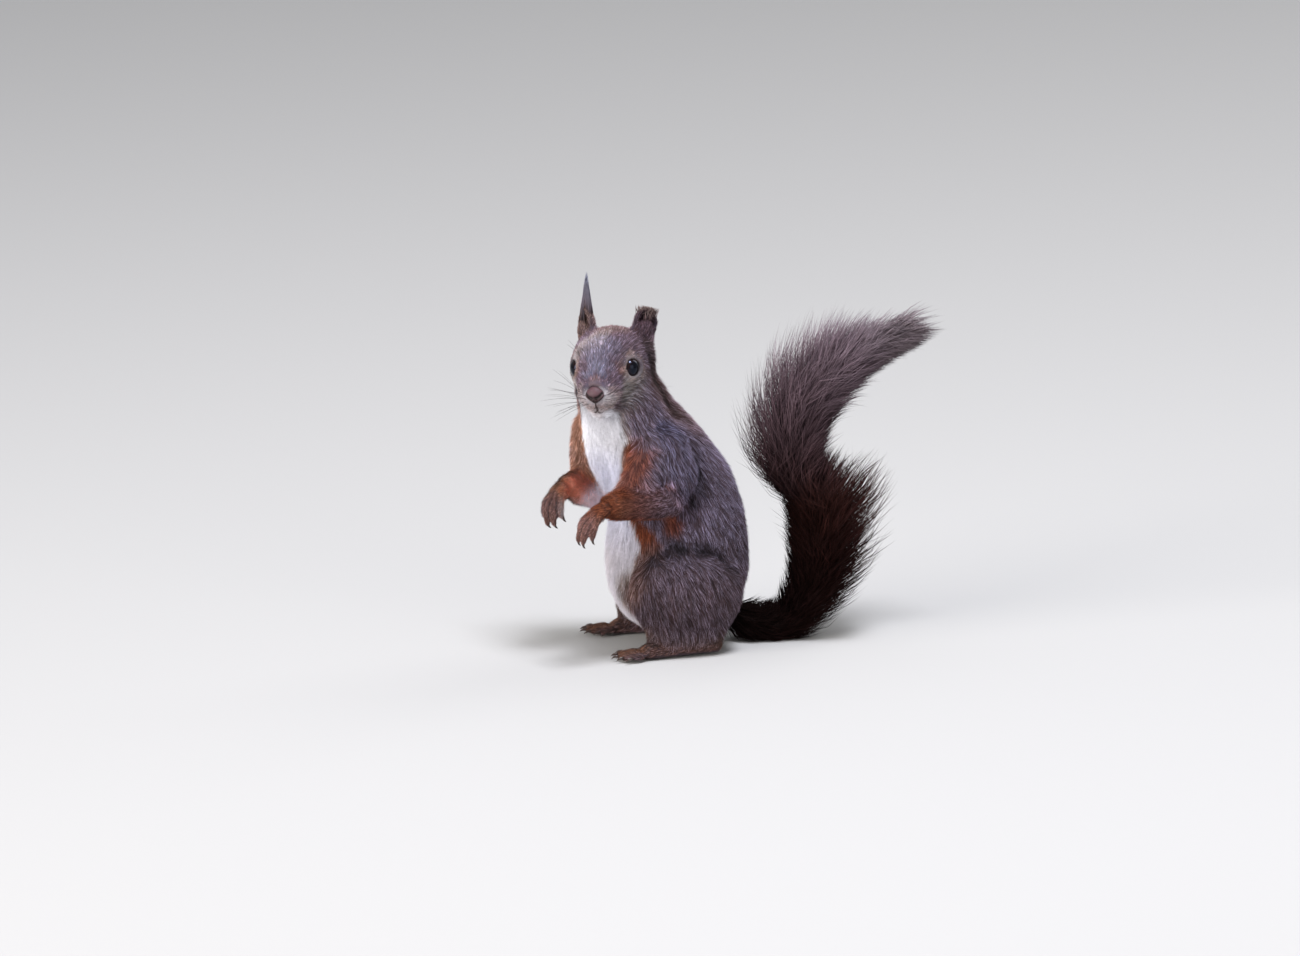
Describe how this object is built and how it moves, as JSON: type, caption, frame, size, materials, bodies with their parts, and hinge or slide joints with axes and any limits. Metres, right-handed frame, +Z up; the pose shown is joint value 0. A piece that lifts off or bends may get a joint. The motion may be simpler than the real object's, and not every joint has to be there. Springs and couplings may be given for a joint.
{
  "type": "red squirrel",
  "caption": "Life-size red squirrel standing alert on its hind feet, head turned to its left, forepaws before the chest and bushy tail raised.",
  "frame": {"origin": "on the floor, below the middle of the whole squirrel's box", "axes": "-Y the way the hips and hind feet face, +X the squirrel's left, +Z up"},
  "size_m": [0.0868, 0.1846, 0.1742],
  "materials": {
    "coat": "soft matte fur, grey-brown with pale tips",
    "coat_rust": "soft matte fur, rust red",
    "coat_tail": "long matte hair, dark brown",
    "paw": "short fur over skin, with dark horny claws",
    "eye": "wet gloss, near black",
    "nose": "bare moist skin"
  },
  "bodies": {
    "root": {"head": "coat", "nose": "nose", "eye_left": "eye", "eye_right": "eye", "ear_left": "coat", "ear_right": "coat", "neck": "coat", "torso": "coat", "upper_arm_left": "coat_rust", "forearm_left": "coat_rust", "hand_left": "paw", "upper_arm_right": "coat_rust", "forearm_right": "coat_rust", "hand_right": "paw", "thigh_left": "coat", "shank_left": "coat", "foot_left": "paw", "thigh_right": "coat", "shank_right": "coat", "foot_right": "paw", "tail_base": "coat_tail", "tail_rise": "coat_tail", "tail_bend": "coat_tail", "tail_plume": "coat_tail"}
  },
  "joints": []
}
